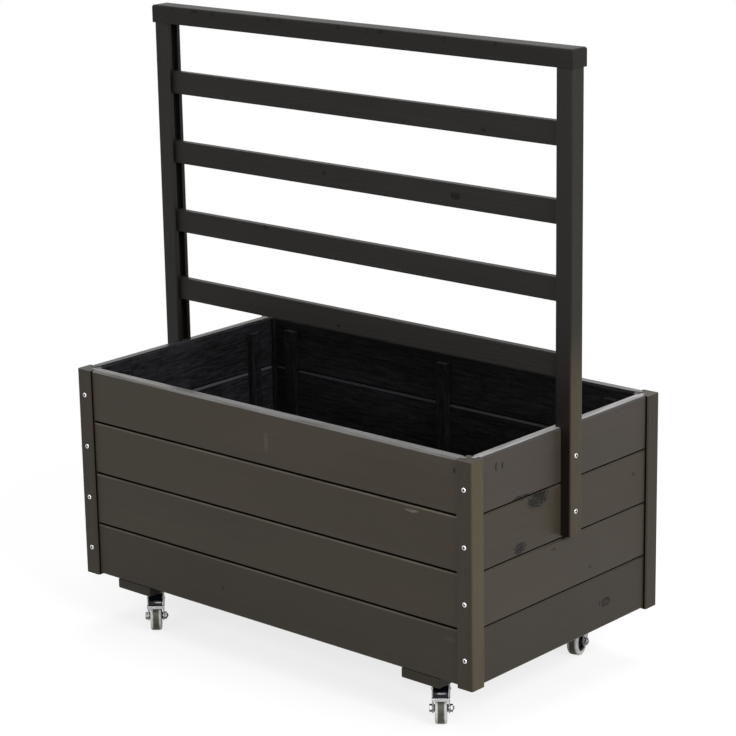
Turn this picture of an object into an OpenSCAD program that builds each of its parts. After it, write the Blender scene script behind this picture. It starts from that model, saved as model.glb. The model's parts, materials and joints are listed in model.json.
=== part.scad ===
// Rolling planter: a tongue and groove box on four swivel casters, with a slatted trellis.
// Millimetres, +Z up. The origin is on the floor under the middle of the box.
// The front is at -Y, the right end at +X.

/* [Box] */
// Length of the box over the corner posts
box_l = 1000; // [800:10:1400]
// Depth of the box over the corner posts
box_d = 562; // [460:2:800]
// Height of a corner post
post_h = 425; // [380:1:520]
// Side of a corner post
post_w = 36; // [34:1:46]
// Radius on the long edges of all posts
post_round = 4; // [1:0.5:4.5]

/* [Wall boards] */
// Boards in each wall
board_n = 4; // [3:1:5]
// Height that one board covers
board_cover = 106; // [90:1:120]
// Thickness of a board
board_t = 24; // [20:0.5:26]
// Setback of the boards behind the posts' outer faces
board_inset = 5.5; // [4.5:0.5:7]
// Height of the lowest board above the posts' lower ends
board_lift = 2; // [1:0.5:6]
// Bevel on a board's upper edges
bevel_top = 4; // [1:0.5:5]
// Bevel on a board's lower edges
bevel_bottom = 3; // [1:0.5:4]
// Thickness of the tongues
tongue_t = 8; // [6:0.5:9]
// Height of the tongue on a board's upper edge
tongue_h = 6; // [4:0.5:8]
// Length of the tongues at a board's ends
tongue_end = 10; // [6:0.5:11]

/* [Inside] */
// Width of a cleat
cleat_w = 26; // [20:1:40]
// Thickness of a cleat
cleat_t = 14; // [10:1:20]
// Distance from the walls' top down to a cleat's top
cleat_drop = 20; // [10:1:60]
// Middle of an outer cleat on a long wall, from the end of the box
cleat_from_end = 86; // [70:1:140]
// Middle of a cleat on a short wall, from the front or back of the box
cleat_from_face = 97; // [84:1:140]
// Number of floor boards
floor_n = 5; // [3:1:6]
// Thickness of a floor board
floor_t = 18; // [12:1:26]
// Drainage gap between floor boards
floor_gap = 6; // [3:0.5:12]

/* [Cross beams] */
// Width of a beam
beam_w = 90; // [82:1:120]
// Thickness of a beam
beam_t = 20; // [19:1:35]
// Radius on a beam's long edges
beam_round = 3; // [1:0.5:6]
// Middle of a beam, from the end of the box
beam_from_end = 128; // [100:1:180]
// Setback of a beam's ends behind the boards' outer faces
beam_setback = 2; // [0:0.5:10]

/* [Trellis] */
// Height of the trellis posts above the walls' top
trellis_rise = 651; // [500:1:900]
// Width and depth of a trellis post
trellis_w = 36; // [30:1:44]
// How far a trellis post stands out past the corner posts
leg_proud = 16.5; // [12:0.5:18]
// Length of the leg below the walls' top
leg_drop = 205; // [180:1:300]
// Height of a slat
slat_h = 44.6; // [30:0.2:60]
// Thickness of a slat
slat_t = 16; // [10:0.5:18]
// Radius on a slat's long edges
slat_round = 2; // [0.5:0.5:4]
// Open height between the slats
slat_gap = 96; // [60:1:100]
// Depth of the groove that holds the slats
slat_groove = 12; // [9:0.5:13]
// Length of a slat's end inside the groove
slat_grip = 10; // [5:0.5:11.5]
// Height of the cap rail
cap_h = 35; // [20:1:50]
// Overhang of the cap rail past the posts, on every side
cap_over = 3; // [0:0.5:12]
// Radius on the cap rail's upper edges
cap_round = 4.5; // [1:0.5:6]

/* [Casters] */
// Height of a caster from the floor to the beam
caster_h = 87; // [85:0.5:100]
// Diameter of the tyre
wheel_d = 58; // [50:1:60]
// Diameter of the hub, under the tyre
hub_d = 42; // [34:1:46]
// Width of the tread
tread_w = 22; // [16:0.5:24]
// Width of the hub's boss
boss_w = 27; // [26:0.5:30]
// Distance of the axle behind the kingpin
trail = 22; // [18:0.5:26]
// Diameter of the axle bolt
axle_d = 6; // [5:0.5:8]
// Diameter of the kingpin
kingpin_d = 8; // [6:0.5:10]
// Side of the square top plate
plate_w = 60; // [56:1:70]
// Thickness of the top plate
plate_t = 2.5; // [1.5:0.5:4]
// Distance between the plate's screws
plate_pitch = 46; // [44:1:48]
// Thickness of the fork's sheet metal
fork_t = 2.2; // [1.5:0.1:3]
// Thickness of the pedal's sheet metal
pedal_t = 1.5; // [1:0.1:2]
// Middle of a caster, from the front or back of the box
caster_from_face = 67; // [64:1:100]
// Way the front left wheel trails, from +X towards +Y
turn_front_left = -46; // [-180:1:180]
// Way the front right wheel trails
turn_front_right = -51; // [-180:1:180]
// Way the back right wheel trails
turn_back_right = -76; // [-180:1:180]
// Way the back left wheel trails
turn_back_left = -104; // [-180:1:180]

/* [Screws] */
// Head diameter of the large countersunk screws
screw_head_d = 10; // [8:0.5:11]
// Shank diameter of the large countersunk screws
screw_d = 4.5; // [3.5:0.5:5]
// Length of a screw through a corner post
post_screw_l = 70; // [60:1:90]
// Length of a screw through a trellis leg
leg_screw_l = 40; // [34:1:42]
// Length of a screw up through a beam
beam_screw_l = 55; // [45:1:70]
// Head diameter of a cleat screw
cleat_head_d = 7; // [5:0.5:8]
// Shank diameter of a cleat screw
cleat_screw_d = 3.5; // [2.5:0.5:4]
// Length of a cleat screw
cleat_screw_l = 30; // [24:1:33]
// Width across the flats of a caster screw's head
hex_af = 10; // [8:1:10]
// Height of a caster screw's head
hex_h = 4; // [3:0.5:5]
// Shank diameter of a caster screw
hex_screw_d = 6; // [4:0.5:6]
// Length of a caster screw
hex_screw_l = 18; // [14:1:20]

/* [Hidden] */
$fn = 48;

// clearances
play = 0.2;
bore_play = 0.06;
run_gap = 0.3;
floor_play = 1.5;
past = 1;

// heights
beam_z = caster_h;
wall_z = beam_z + beam_t;
wall_top = wall_z + board_n * board_cover;
post_z = wall_z - board_lift;
floor_top = wall_z + floor_t;
trellis_top = wall_top + trellis_rise;

// places of the walls, measured from the middle of the box
half_l = box_l / 2;
half_d = box_d / 2;
wall_x = half_l - board_inset;
wall_y = half_d - board_inset;
wall_in_x = wall_x - board_t;
wall_in_y = wall_y - board_t;
wall_mid = board_inset + board_t / 2;
long_board_l = box_l - 2 * post_w;
short_board_l = box_d - 2 * post_w;
groove_t = tongue_t + 2 * play;
groove_h = tongue_h + 1;
groove_end = tongue_end + 1;

// trellis
trellis_x = half_l + leg_proud;
leg_t = leg_proud + board_inset;
slat_l = 2 * (trellis_x - trellis_w + slat_grip);
slat_slot = slat_t + 2 * play;

// casters: x, y and turn of the front left, front right, back left and back right ones
caster_x = half_l - beam_from_end;
caster_y = half_d - caster_from_face;
CASTERS = [
    [-caster_x, -caster_y, turn_front_left],
    [caster_x, -caster_y, turn_front_right],
    [-caster_x, caster_y, turn_back_left],
    [caster_x, caster_y, turn_back_right]
];
wheel_r = wheel_d / 2;
axle_r = axle_d / 2;
kingpin_r = kingpin_d / 2;
plate_z = caster_h - plate_t;
race_r = 21;
race_h = 7;
race_neck_r = 10.5;
cup_wall = 2.2;
cup_z = plate_z - 5.5;
crown_z = cup_z - run_gap - race_h;
crown_half = 22;
crown_r = 5;
fork_in = boss_w / 2 + run_gap;
fork_out = fork_in + fork_t;
leg_flare_z = wheel_r + 21;
leg_bend_z = wheel_r + 9;
leg_end_r = 9.5;
washer_t = 1;
nut_af = 13;
nut_h = 4.5;
nut_dome_r = 5.2;
nut_dome_rise = 2.8;

// brake pedal
pedal_half = 14;
sheet_x = trail + 1;
sheet_z = wheel_r + 26;
sheet_r = 24;
sheet_low = 10;
sheet_high = 62;
ledge_half = 16.6;
ledge_reach = 5;
ledge_drop = 5;
tongue_half = 8;
tongue_r = wheel_r + 4.8;
tongue_low = 50;
tongue_high = 72;
pivot_x = trail - 14;
pivot_z = wheel_r + 32;
pivot_r = 2;
pivot_half = crown_half + 1.5;
pivot_boss_r = 5;

// middles of the wall boards, and the boards that a trellis leg is screwed to
function board_mid(k) = wall_z + (k + 0.5) * board_cover;
LEG_BOARDS = [board_n - 2, board_n - 1];
LONG_CLEATS = [-(half_l - cleat_from_end), 0, half_l - cleat_from_end];
SHORT_CLEATS = [-(half_d - cleat_from_face), half_d - cleat_from_face];

stain = "#35322d";
stain_trellis = "#2b2b2c";
stain_inside = "#1c1b1d";
zinc = "#b9bcc0";
rubber = "#8f9092";
plastic = "#1b1b1c";

// ---- shapes that several pieces share ----

// rectangle w by d with rounded corners, its middle at the origin
module round_rect(w, d, r) {
    square([w - 2 * r, d], center = true);
    square([w, d - 2 * r], center = true);
    for (x = [-1, 1], y = [-1, 1])
        translate([x * (w / 2 - r), y * (d / 2 - r)]) circle(r);
}

// countersunk screw, its head's face at z = 0 and its point at z = -length
module countersunk(head_r, shank_r, length) {
    rim = 0.6;
    point = 4;
    rotate_extrude()
        polygon([
            [0, 0], [head_r, 0], [head_r, -rim], [shank_r, -rim - (head_r - shank_r)],
            [shank_r, point - length], [0, -length]
        ]);
}

// the hole that such a screw sits in, open past the face
module countersunk_hole(head_r, shank_r, length) {
    countersunk(head_r + bore_play, shank_r + bore_play, length + past);
    cylinder(h = past, r = head_r + bore_play);
}

// ---- places of the screws ----

// every corner post has one screw for each board, along Y into the side wall's boards
module at_post_screws(sx, sy) {
    for (k = [0 : board_n - 1])
        translate([sx * (half_l - wall_mid), sy * half_d, board_mid(k)])
            rotate([sy * -90, 0, 0]) children();
}

// screws through a trellis leg, along X into the side wall's boards
module at_leg_screws(sx) {
    for (k = LEG_BOARDS)
        translate([sx * trellis_x, 0, board_mid(k)]) rotate([0, sx * 90, 0]) children();
}

// screws from a cleat into each board of the long wall on side sy
module at_long_cleat_screws(sy) {
    for (x = LONG_CLEATS, k = [0 : board_n - 1])
        translate([x, sy * (wall_in_y - cleat_t), cleat_screw_z(k)])
            rotate([sy * 90, 0, 0]) children();
}

// screws from a cleat into each board of the short wall on side sx
module at_short_cleat_screws(sx) {
    for (y = SHORT_CLEATS, k = [0 : board_n - 1])
        translate([sx * (wall_in_x - cleat_t), y, cleat_screw_z(k)])
            rotate([0, sx * -90, 0]) children();
}

function cleat_screw_z(k) = board_mid(k) + 12;

// screws up through the beams into the lowest board of the long wall on side sy
module at_beam_screws(sx, sy) {
    for (dx = [-1, 1])
        translate([sx * caster_x + dx * beam_w * 0.3, sy * (half_d - wall_mid), beam_z])
            rotate([180, 0, 0]) children();
}

// the four screws of a caster's plate
module at_plate_screws(c) {
    for (dx = [-1, 1], dy = [-1, 1])
        translate([c[0] + dx * plate_pitch / 2, c[1] + dy * plate_pitch / 2, plate_z]) children();
}

// a caster's moving parts are drawn with the kingpin at the origin and the wheel towards +X
module at_caster(c) {
    translate([c[0], c[1], 0]) rotate([0, 0, c[2]]) children();
}

// along the axle, which runs across the trail
module at_axle() {
    translate([trail, 0, wheel_r]) rotate([90, 0, 0]) children();
}

// along the pin that the pedal turns on
module at_pivot() {
    translate([pivot_x, 0, pivot_z]) rotate([90, 0, 0]) children();
}

// ---- box ----

// corner post on the side sx, sy: grooves for the boards' ends, screw holes in the outer face
module corner_post(sx, sy) {
    color(stain)
    difference() {
        translate([sx * (half_l - post_w / 2), sy * (half_d - post_w / 2), post_z])
            linear_extrude(post_h) round_rect(post_w, post_w, post_round);
        translate([sx * (half_l - post_w), sy * (half_d - wall_mid), post_z + post_h / 2])
            cube([2 * groove_end, groove_t, post_h + 2 * past], center = true);
        translate([sx * (half_l - wall_mid), sy * (half_d - post_w), post_z + post_h / 2])
            cube([groove_t, 2 * groove_end, post_h + 2 * past], center = true);
        at_post_screws(sx, sy)
            countersunk_hole(screw_head_d / 2, screw_d / 2, post_screw_l);
    }
}

// cross-section of a board, outer face at x = 0: the lowest has no groove, the top no tongue
module board_section(k) {
    mid = board_t / 2;
    difference() {
        union() {
            polygon([
                [0, bevel_bottom], [bevel_bottom, 0], [board_t - bevel_bottom, 0],
                [board_t, bevel_bottom], [board_t, board_cover - bevel_top],
                [board_t - bevel_top, board_cover], [bevel_top, board_cover],
                [0, board_cover - bevel_top]
            ]);
            if (k < board_n - 1)
                translate([mid - tongue_t / 2, board_cover - past])
                    square([tongue_t, tongue_h + past]);
        }
        if (k > 0)
            translate([mid - groove_t / 2, -past]) square([groove_t, groove_h + past]);
    }
}

// board of the given length between the posts, along +X, its outer face at y = 0
module board(k, length) {
    low = k > 0 ? groove_h : 0;
    high = k < board_n - 1 ? board_cover + tongue_h : board_cover - play;
    translate([-length / 2, 0, 0]) rotate([90, 0, 90]) linear_extrude(length) board_section(k);
    translate([-length / 2 - tongue_end, (board_t - tongue_t) / 2, low])
        cube([length + 2 * tongue_end, tongue_t, high - low]);
}

// board k of the long wall on side sy
module long_board(sy, k) {
    color(stain)
    difference() {
        translate([0, sy * wall_y, wall_z + k * board_cover])
            rotate([0, 0, sy < 0 ? 0 : 180]) board(k, long_board_l);
        at_long_cleat_screws(sy) cleat_hole();
        if (k == 0)
            for (sx = [-1, 1])
                at_beam_screws(sx, sy) countersunk_hole(screw_head_d / 2, screw_d / 2, beam_screw_l);
    }
}

// board k of the short wall on side sx
module short_board(sx, k) {
    color(stain)
    difference() {
        translate([sx * wall_x, 0, wall_z + k * board_cover])
            rotate([0, 0, sx < 0 ? -90 : 90]) board(k, short_board_l);
        at_short_cleat_screws(sx) cleat_hole();
        for (sy = [-1, 1])
            at_post_screws(sx, sy) countersunk_hole(screw_head_d / 2, screw_d / 2, post_screw_l);
        at_leg_screws(sx) countersunk_hole(screw_head_d / 2, screw_d / 2, leg_screw_l);
    }
}

module cleat_hole() {
    countersunk_hole(cleat_head_d / 2, cleat_screw_d / 2, cleat_screw_l);
}

// upright battens inside the long walls
module long_wall_cleats() {
    color(stain_inside)
    for (sy = [-1, 1])
        difference() {
            for (x = LONG_CLEATS)
                translate([x - cleat_w / 2, sy * (wall_in_y - cleat_t / 2) - cleat_t / 2, floor_top])
                    cube([cleat_w, cleat_t, wall_top - cleat_drop - floor_top]);
            at_long_cleat_screws(sy) cleat_hole();
        }
}

// upright battens inside the short walls
module short_wall_cleats() {
    color(stain_inside)
    for (sx = [-1, 1])
        difference() {
            for (y = SHORT_CLEATS)
                translate([sx * (wall_in_x - cleat_t / 2) - cleat_t / 2, y - cleat_w / 2, floor_top])
                    cube([cleat_t, cleat_w, wall_top - cleat_drop - floor_top]);
            at_short_cleat_screws(sx) cleat_hole();
        }
}

// floor boards between the corner posts, lying on the beams
module floor_boards() {
    span = box_d - 2 * post_w - 2 * floor_play;
    floor_w = (span - (floor_n - 1) * floor_gap) / floor_n;
    length = 2 * (wall_in_x - floor_play);
    color(stain_inside)
    for (i = [0 : floor_n - 1])
        translate([-length / 2, -span / 2 + i * (floor_w + floor_gap), wall_z])
            cube([length, floor_w, floor_t]);
}

// cross beam on side sx, with holes for its own screws and its casters' screws
module cross_beam(sx) {
    length = 2 * (wall_y - beam_setback);
    color(stain)
    difference() {
        translate([sx * caster_x, length / 2, beam_z + beam_t / 2])
            rotate([90, 0, 0]) linear_extrude(length) round_rect(beam_w, beam_t, beam_round);
        for (sy = [-1, 1])
            at_beam_screws(sx, sy) countersunk_hole(screw_head_d / 2, screw_d / 2, beam_screw_l);
        for (c = CASTERS)
            at_plate_screws(c) cylinder(h = hex_screw_l + plate_t, r = hex_screw_d / 2 + bore_play);
    }
}

// ---- trellis ----

// trellis post on side sx: stands on the wall, with its leg outside and a groove inside
module trellis_post(sx) {
    mid = trellis_x - trellis_w / 2;
    inner = trellis_x - trellis_w;
    color(stain_trellis)
    difference() {
        translate([sx * mid, 0, wall_top - leg_drop])
            linear_extrude(leg_drop + trellis_rise)
                round_rect(trellis_w, trellis_w, post_round);
        translate([sx * (inner - past + (trellis_w - leg_t + past) / 2), 0, wall_top - leg_drop / 2 - past / 2])
            cube([trellis_w - leg_t + past, trellis_w + 2 * past, leg_drop + past], center = true);
        translate([sx * inner, 0, wall_top + trellis_rise / 2])
            cube([2 * slat_groove, slat_slot, trellis_rise + 2 * past], center = true);
        at_leg_screws(sx) countersunk_hole(screw_head_d / 2, screw_d / 2, leg_screw_l);
    }
}

// slat i, counted from the top
module trellis_slat(i) {
    color(stain_trellis)
    translate([-slat_l / 2, 0, trellis_top - (i + 1) * (slat_gap + slat_h) + slat_h / 2])
        rotate([90, 0, 90]) linear_extrude(slat_l) round_rect(slat_t, slat_h, slat_round);
}

// outline of the cap rail, rounded at its two upper corners only
module cap_section(w) {
    translate([-w / 2, 0]) square([w, cap_h - cap_round]);
    translate([-w / 2 + cap_round, 0]) square([w - 2 * cap_round, cap_h]);
    for (x = [-1, 1])
        translate([x * (w / 2 - cap_round), cap_h - cap_round]) circle(cap_round);
}

module trellis_cap() {
    length = 2 * (trellis_x + cap_over);
    depth = trellis_w + 2 * cap_over;
    color(stain_trellis)
    translate([0, 0, trellis_top])
        intersection() {
            translate([-length / 2, 0, 0])
                rotate([90, 0, 90]) linear_extrude(length) cap_section(depth);
            translate([0, depth / 2, 0])
                rotate([90, 0, 0]) linear_extrude(depth) cap_section(length);
        }
}

// ---- casters ----

// top plate with the upper race and the kingpin, fixed under a beam
module caster_plate(c) {
    color(zinc)
    translate([c[0], c[1], 0]) {
        difference() {
            translate([0, 0, plate_z]) linear_extrude(plate_t) round_rect(plate_w, plate_w, 6);
            translate([-c[0], -c[1], -past])
                at_plate_screws(c)
                    cylinder(h = plate_t + 2 * past, r = hex_screw_d / 2 + play);
        }
        rotate_extrude()
            polygon([
                [0, plate_z + plate_t / 2], [race_r + play + cup_wall, plate_z + plate_t / 2],
                [race_r + play + cup_wall, cup_z - 3], [race_r + play, cup_z - 3],
                [race_r + play, cup_z], [kingpin_r, cup_z],
                [kingpin_r, crown_z - fork_t - run_gap], [kingpin_r + 3, crown_z - fork_t - run_gap],
                [kingpin_r + 2, crown_z - fork_t - run_gap - 2.5], [0, crown_z - fork_t - run_gap - 2.5]
            ]);
    }
}

// side view of the fork: from the crown down to a round end on the axle
module fork_side() {
    polygon([
        [-crown_half, crown_z], [trail - 1, crown_z], [trail + leg_end_r, wheel_r],
        [trail - leg_end_r, wheel_r]
    ]);
    translate([trail, wheel_r]) circle(leg_end_r);
}

// end view of the fork, moved in by t: upright at the axle, stepped out and upright at the crown
module fork_end(t) {
    flat_half = crown_half - crown_r;
    polygon([
        [-fork_out + t, -past], [-fork_out + t, leg_bend_z], [-crown_half + t, leg_flare_z],
        [-crown_half + t, crown_z - crown_r], [-flat_half, crown_z - t],
        [flat_half, crown_z - t], [crown_half - t, crown_z - crown_r],
        [crown_half - t, leg_flare_z], [fork_out - t, leg_bend_z], [fork_out - t, -past]
    ]);
    for (s = [-1, 1])
        translate([s * flat_half, crown_z - crown_r]) circle(crown_r - t);
}

// the fork seen from above: round behind the kingpin
module fork_plan(reach) {
    circle(crown_half);
    translate([0, -crown_half]) square([reach, 2 * crown_half]);
}

module caster_fork(c) {
    reach = trail + 2 * leg_end_r;
    color(zinc)
    at_caster(c)
    difference() {
        union() {
            intersection() {
                translate([0, crown_half + past, 0])
                    rotate([90, 0, 0]) linear_extrude(2 * (crown_half + past)) fork_side();
                translate([-reach, 0, 0])
                    rotate([90, 0, 90]) linear_extrude(2 * reach)
                        difference() {
                            fork_end(0);
                            fork_end(fork_t);
                        }
                linear_extrude(caster_h) fork_plan(reach);
            }
            rotate_extrude()
                polygon([
                    [0, crown_z - fork_t / 2], [race_neck_r, crown_z - fork_t / 2],
                    [race_neck_r, crown_z], [race_r, crown_z + 3],
                    [race_r, crown_z + race_h], [0, crown_z + race_h]
                ]);
        }
        cylinder(h = caster_h, r = kingpin_r + bore_play);
        at_axle() cylinder(h = 4 * crown_half, r = axle_r + bore_play, center = true);
        at_pivot() cylinder(h = 4 * crown_half, r = pivot_r + bore_play, center = true);
    }
}

// axle bolt with its head on one side and a domed nut on the other, fixed in the fork
module caster_axle(c) {
    seat = fork_out + washer_t;
    color(zinc)
    at_caster(c) at_axle() {
        cylinder(h = 2 * seat + nut_h, r = axle_r, center = true);
        for (s = [-1, 1]) {
            translate([0, 0, s * (fork_out + washer_t / 2)])
                cylinder(h = washer_t, r = nut_af / 2 + 1, center = true);
            translate([0, 0, s * (seat + nut_h / 2)])
                cylinder(h = nut_h, d = nut_af / cos(30), center = true, $fn = 6);
        }
        translate([0, 0, -(seat + nut_h + nut_dome_rise - nut_dome_r)])
            rotate([180, 0, 0])
                rotate_extrude()
                    intersection() {
                        circle(nut_dome_r);
                        square([nut_dome_r, nut_dome_r]);
                    }
    }
}

// hub: rim, thin web and a boss with the axle's bore
module caster_hub(c) {
    hub_r = hub_d / 2;
    rim_t = 3;
    web_t = 6;
    boss_r = axle_r + 4;
    color(plastic)
    at_caster(c) at_axle()
        rotate_extrude()
            polygon([
                [axle_r + bore_play, -boss_w / 2], [boss_r, -boss_w / 2], [boss_r, -web_t / 2],
                [hub_r - rim_t, -web_t / 2], [hub_r - rim_t, -tread_w / 2 + 1],
                [hub_r, -tread_w / 2 + 1], [hub_r, tread_w / 2 - 1],
                [hub_r - rim_t, tread_w / 2 - 1], [hub_r - rim_t, web_t / 2],
                [boss_r, web_t / 2], [boss_r, boss_w / 2], [axle_r + bore_play, boss_w / 2]
            ]);
}

// tyre: a band with a flat tread and rounded shoulders
module caster_tyre(c) {
    shoulder = 4;
    inner_r = hub_d / 2;
    color(rubber)
    at_caster(c) at_axle()
        rotate_extrude() {
            translate([inner_r, -tread_w / 2]) square([wheel_r - inner_r - shoulder, tread_w]);
            translate([inner_r, -tread_w / 2 + shoulder])
                square([wheel_r - inner_r, tread_w - 2 * shoulder]);
            for (s = [-1, 1])
                translate([wheel_r - shoulder, s * (tread_w / 2 - shoulder)]) circle(shoulder);
        }
}

// side view of bent sheet metal: an arc with the inner radius r, from one angle to another
module bent(r, low, high) {
    far = 2 * r;
    intersection() {
        difference() {
            circle(r + pedal_t, $fn = 96);
            circle(r, $fn = 96);
        }
        polygon([
            [0, 0], [far * cos(low), far * sin(low)], [far, far], [far * cos(high), far * sin(high)]
        ]);
    }
}

// a point of the pedal's side view, on the middle of its sheet
function on_sheet(a) = [
    sheet_x + (sheet_r + pedal_t / 2) * cos(a), sheet_z + (sheet_r + pedal_t / 2) * sin(a)
];
function on_tongue(a) = [
    trail + (tongue_r + pedal_t / 2) * cos(a), wheel_r + (tongue_r + pedal_t / 2) * sin(a)
];

// side view of flat sheet metal from point a to point b, with round ends
module flat(a, b) {
    run = b - a;
    translate(a) circle(pedal_t / 2);
    translate(b) circle(pedal_t / 2);
    translate(a) rotate(atan2(run[1], run[0]))
        translate([0, -pedal_t / 2]) square([norm(run), pedal_t]);
}

// side view of the sheet, which bulges forward over the wheel
module pedal_sheet() {
    translate([sheet_x, sheet_z]) bent(sheet_r, sheet_low, sheet_high);
}

// side view of the ledge that the foot presses, in front of the sheet and turned down
module pedal_ledge() {
    foot = on_sheet(sheet_low);
    edge = foot + [ledge_reach, 0];
    flat(foot, edge);
    flat(edge, edge - [0, ledge_drop]);
}

// side view of the brake tongue, hooked back under the sheet to follow the tyre
module pedal_tongue() {
    translate([trail, wheel_r]) bent(tongue_r, tongue_low, tongue_high);
    flat(on_tongue(tongue_low), on_sheet(sheet_low));
}

// side view of a pedal cheek: from the pivot out to the sheet, clear of the fork's crown
module pedal_cheek() {
    translate([pivot_x, pivot_z]) circle(pivot_boss_r);
    polygon([
        [pivot_x, pivot_z + pivot_boss_r], [trail + 3, pivot_z + pivot_boss_r],
        on_sheet(sheet_high), on_sheet((sheet_low + sheet_high) / 2), on_sheet(sheet_low),
        [pivot_x, pivot_z - pivot_boss_r]
    ]);
}

// a side view made into a solid that reaches w either way from the middle of the caster
module across(w) {
    translate([0, w, 0]) rotate([90, 0, 0]) linear_extrude(2 * w) children();
}

// brake pedal, hinged between the fork's legs on its own pin
module brake_pedal(c) {
    color(zinc)
    at_caster(c) {
        across(pedal_half) pedal_sheet();
        across(ledge_half) pedal_ledge();
        across(tongue_half) pedal_tongue();
        for (s = [-1, 1])
            translate([0, s * (pedal_half - pedal_t / 2), 0]) across(pedal_t / 2) pedal_cheek();
        at_pivot() cylinder(h = 2 * pivot_half, r = pivot_r, center = true);
    }
}

// ---- screws ----

module post_screws() {
    color(zinc)
    for (sx = [-1, 1], sy = [-1, 1])
        at_post_screws(sx, sy) countersunk(screw_head_d / 2, screw_d / 2, post_screw_l);
}

module trellis_screws() {
    color(zinc)
    for (sx = [-1, 1])
        at_leg_screws(sx) countersunk(screw_head_d / 2, screw_d / 2, leg_screw_l);
}

module cleat_screws() {
    color(zinc)
    for (s = [-1, 1]) {
        at_long_cleat_screws(s) countersunk(cleat_head_d / 2, cleat_screw_d / 2, cleat_screw_l);
        at_short_cleat_screws(s) countersunk(cleat_head_d / 2, cleat_screw_d / 2, cleat_screw_l);
    }
}

module beam_screws() {
    color(zinc)
    for (sx = [-1, 1], sy = [-1, 1])
        at_beam_screws(sx, sy) countersunk(screw_head_d / 2, screw_d / 2, beam_screw_l);
}

module caster_screws() {
    color(zinc)
    for (c = CASTERS)
        at_plate_screws(c) {
            translate([0, 0, -hex_h]) cylinder(h = hex_h, d = hex_af / cos(30), $fn = 6);
            cylinder(h = hex_screw_l, r = hex_screw_d / 2);
        }
}

corner_post(-1, -1);  // post_front_left
corner_post(1, -1);  // post_front_right
corner_post(-1, 1);  // post_back_left
corner_post(1, 1);  // post_back_right
long_board(-1, 0);  // front_board_1
long_board(-1, 1);  // front_board_2
long_board(-1, 2);  // front_board_3
long_board(-1, 3);  // front_board_4
long_board(1, 0);  // back_board_1
long_board(1, 1);  // back_board_2
long_board(1, 2);  // back_board_3
long_board(1, 3);  // back_board_4
short_board(-1, 0);  // left_board_1
short_board(-1, 1);  // left_board_2
short_board(-1, 2);  // left_board_3
short_board(-1, 3);  // left_board_4
short_board(1, 0);  // right_board_1
short_board(1, 1);  // right_board_2
short_board(1, 2);  // right_board_3
short_board(1, 3);  // right_board_4
long_wall_cleats();
short_wall_cleats();
floor_boards();
cross_beam(-1);  // beam_left
cross_beam(1);  // beam_right
trellis_post(-1);  // trellis_post_left
trellis_post(1);  // trellis_post_right
trellis_cap();
trellis_slat(0);  // trellis_slat_1
trellis_slat(1);  // trellis_slat_2
trellis_slat(2);  // trellis_slat_3
trellis_slat(3);  // trellis_slat_4
caster_plate(CASTERS[0]);  // caster_plate_front_left
caster_plate(CASTERS[1]);  // caster_plate_front_right
caster_plate(CASTERS[2]);  // caster_plate_back_left
caster_plate(CASTERS[3]);  // caster_plate_back_right
caster_fork(CASTERS[0]);  // caster_fork_front_left
caster_fork(CASTERS[1]);  // caster_fork_front_right
caster_fork(CASTERS[2]);  // caster_fork_back_left
caster_fork(CASTERS[3]);  // caster_fork_back_right
caster_axle(CASTERS[0]);  // caster_axle_front_left
caster_axle(CASTERS[1]);  // caster_axle_front_right
caster_axle(CASTERS[2]);  // caster_axle_back_left
caster_axle(CASTERS[3]);  // caster_axle_back_right
caster_hub(CASTERS[0]);  // caster_hub_front_left
caster_hub(CASTERS[1]);  // caster_hub_front_right
caster_hub(CASTERS[2]);  // caster_hub_back_left
caster_hub(CASTERS[3]);  // caster_hub_back_right
caster_tyre(CASTERS[0]);  // caster_tyre_front_left
caster_tyre(CASTERS[1]);  // caster_tyre_front_right
caster_tyre(CASTERS[2]);  // caster_tyre_back_left
caster_tyre(CASTERS[3]);  // caster_tyre_back_right
brake_pedal(CASTERS[0]);  // brake_pedal_front_left
brake_pedal(CASTERS[1]);  // brake_pedal_front_right
post_screws();
trellis_screws();
cleat_screws();
beam_screws();
caster_screws();
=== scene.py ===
"""A rolling planter: a stained tongue and groove box on four swivel casters, with a slatted trellis."""

import json
import math

import bmesh
import bpy
from mathutils import Matrix, Vector


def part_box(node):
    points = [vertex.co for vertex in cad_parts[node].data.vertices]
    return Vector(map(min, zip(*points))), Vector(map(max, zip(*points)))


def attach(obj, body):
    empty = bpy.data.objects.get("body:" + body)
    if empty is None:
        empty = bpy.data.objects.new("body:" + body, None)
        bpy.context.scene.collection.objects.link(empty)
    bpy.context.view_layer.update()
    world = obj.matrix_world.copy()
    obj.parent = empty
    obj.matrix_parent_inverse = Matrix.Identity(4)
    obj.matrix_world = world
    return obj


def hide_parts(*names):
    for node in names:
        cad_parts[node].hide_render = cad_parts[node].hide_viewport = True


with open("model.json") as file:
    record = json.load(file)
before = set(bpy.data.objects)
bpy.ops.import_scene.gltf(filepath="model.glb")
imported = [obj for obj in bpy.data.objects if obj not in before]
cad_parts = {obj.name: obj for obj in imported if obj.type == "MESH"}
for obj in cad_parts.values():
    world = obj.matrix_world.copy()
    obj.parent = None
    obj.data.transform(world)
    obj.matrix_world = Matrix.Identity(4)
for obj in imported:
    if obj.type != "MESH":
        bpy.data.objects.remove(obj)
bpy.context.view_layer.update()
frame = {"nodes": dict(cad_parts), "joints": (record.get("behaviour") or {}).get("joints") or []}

MM = 0.001

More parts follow.
